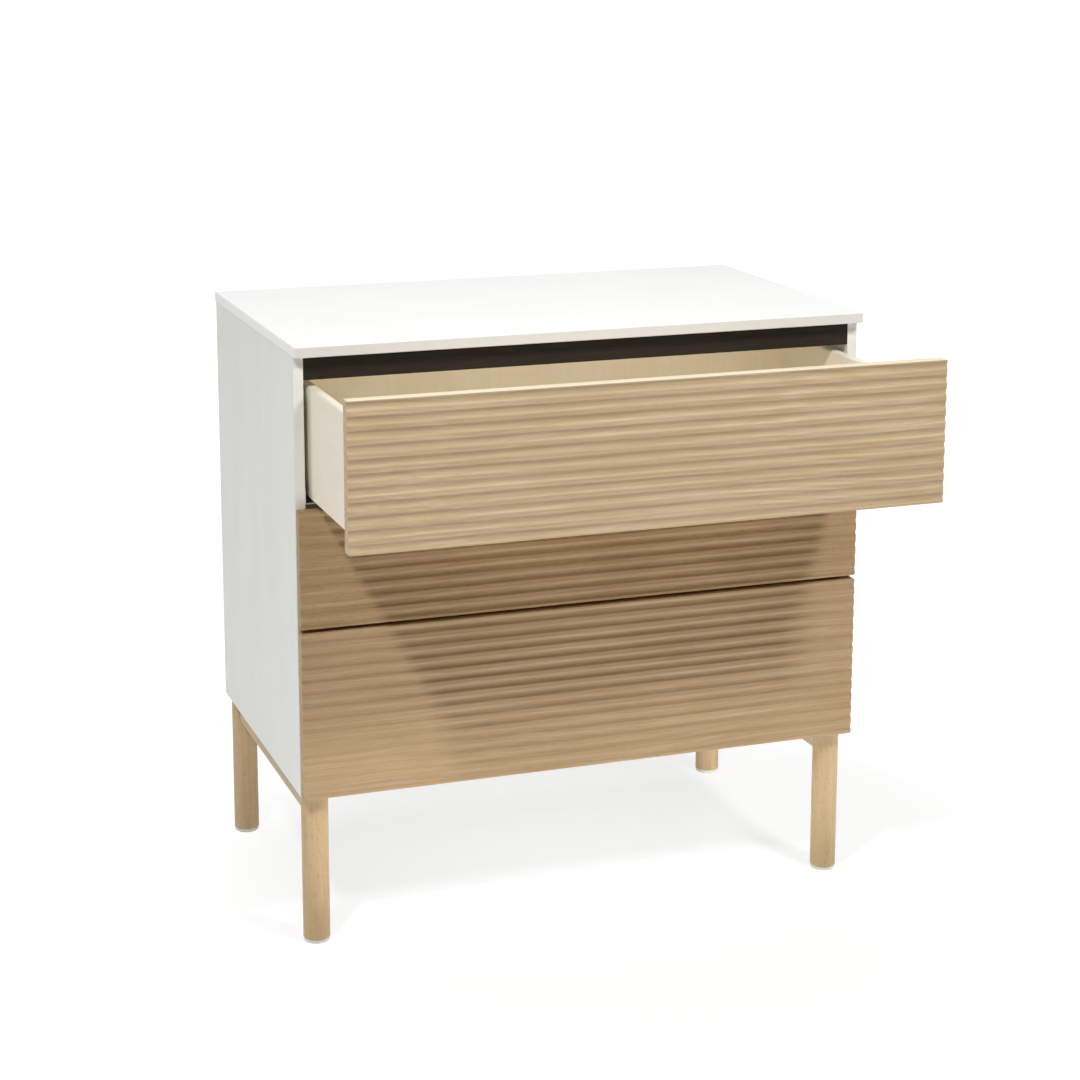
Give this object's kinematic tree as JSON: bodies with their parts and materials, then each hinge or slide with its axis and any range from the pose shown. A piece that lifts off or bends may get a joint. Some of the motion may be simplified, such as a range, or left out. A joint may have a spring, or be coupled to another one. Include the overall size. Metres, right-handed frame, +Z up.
{
  "type": "chest of drawers",
  "caption": "White chest on round wooden legs, with fluted wooden drawer fronts without handles and sliding drawers for clothes and linen.",
  "frame": {"origin": "centre of the footprint with the upper drawer as the picture shows it, on the floor", "axes": "+X to the right seen from the front, +Y to the back, +Z up"},
  "size_m": [0.929, 0.828, 0.9445],
  "materials": {
    "white_top": "satin white lacquer",
    "white_side": "satin white lacquer over faint grain",
    "white_bottom": "satin white foil",
    "back_board": "matt white board",
    "dark_rail": "matt dark brown",
    "beech_front_upper": "matt lacquered beech, grain across",
    "beech_front_middle": "matt lacquered beech, grain across",
    "beech_front_lower": "matt lacquered beech, grain across",
    "beech_leg": "matt lacquered solid beech, grain along the leg",
    "beech_rail": "matt lacquered solid beech, grain along the rail",
    "box_side": "matt clear birch plywood",
    "box_back": "matt clear birch plywood",
    "box_floor": "matt clear birch plywood",
    "runner_steel": "zinc plated",
    "catch_plastic": "matt moulded plastic",
    "glide_plastic": "matt moulded plastic"
  },
  "bodies": {
    "case": {"top_panel": "white_top", "side_panel_left": "white_side", "side_panel_right": "white_side", "bottom_panel": "white_bottom", "back_panel": "back_board", "front_top_rail": "dark_rail", "rear_top_rail": "back_board", "base_rail_left": "beech_rail", "leg_front_left": "beech_leg", "glide_front_left": "glide_plastic", "leg_rear_left": "beech_leg", "glide_rear_left": "glide_plastic", "base_rail_right": "beech_rail", "leg_front_right": "beech_leg", "glide_front_right": "glide_plastic", "leg_rear_right": "beech_leg", "glide_rear_right": "glide_plastic", "runner_track_lower_left": "runner_steel", "runner_track_lower_right": "runner_steel", "runner_track_middle_left": "runner_steel", "runner_track_middle_right": "runner_steel", "runner_track_upper_left": "runner_steel", "runner_track_upper_right": "runner_steel"},
    "drawer_lower": {"drawer_lower_front": "beech_front_lower", "drawer_lower_back": "box_back", "drawer_lower_floor": "box_floor", "drawer_lower_side_left": "box_side", "runner_channel_lower_left": "runner_steel", "runner_catch_lower_left": "catch_plastic", "drawer_lower_side_right": "box_side", "runner_channel_lower_right": "runner_steel", "runner_catch_lower_right": "catch_plastic"},
    "slides_lower": {"runner_slide_lower_left": "runner_steel", "runner_slide_lower_right": "runner_steel"},
    "drawer_middle": {"drawer_middle_front": "beech_front_middle", "drawer_middle_back": "box_back", "drawer_middle_floor": "box_floor", "drawer_middle_side_left": "box_side", "runner_channel_middle_left": "runner_steel", "runner_catch_middle_left": "catch_plastic", "drawer_middle_side_right": "box_side", "runner_channel_middle_right": "runner_steel", "runner_catch_middle_right": "catch_plastic"},
    "slides_middle": {"runner_slide_middle_left": "runner_steel", "runner_slide_middle_right": "runner_steel"},
    "drawer_upper": {"drawer_upper_front": "beech_front_upper", "drawer_upper_back": "box_back", "drawer_upper_floor": "box_floor", "drawer_upper_side_left": "box_side", "runner_channel_upper_left": "runner_steel", "runner_catch_upper_left": "catch_plastic", "drawer_upper_side_right": "box_side", "runner_channel_upper_right": "runner_steel", "runner_catch_upper_right": "catch_plastic"},
    "slides_upper": {"runner_slide_upper_left": "runner_steel", "runner_slide_upper_right": "runner_steel"}
  },
  "joints": [
    {"name": "lower_drawer_slide", "type": "slide", "parent": "case", "child": "drawer_lower", "axis": [0, -1, 0], "range_m": [0, 0.4]},
    {"name": "lower_runner_slide", "type": "slide", "parent": "case", "child": "slides_lower", "axis": [0, -1, 0], "range_m": [0, 0.2]},
    {"name": "middle_drawer_slide", "type": "slide", "parent": "case", "child": "drawer_middle", "axis": [0, -1, 0], "range_m": [0, 0.4]},
    {"name": "middle_runner_slide", "type": "slide", "parent": "case", "child": "slides_middle", "axis": [0, -1, 0], "range_m": [0, 0.2]},
    {"name": "upper_drawer_slide", "type": "slide", "parent": "case", "child": "drawer_upper", "axis": [0, -1, 0], "range_m": [-0.28, 0.12]},
    {"name": "upper_runner_slide", "type": "slide", "parent": "case", "child": "slides_upper", "axis": [0, -1, 0], "range_m": [-0.14, 0.06]}
  ],
  "couplings": [
    {"joint": "lower_runner_slide", "follows": "lower_drawer_slide", "ratio": 0.5},
    {"joint": "middle_runner_slide", "follows": "middle_drawer_slide", "ratio": 0.5},
    {"joint": "upper_runner_slide", "follows": "upper_drawer_slide", "ratio": 0.5}
  ]
}
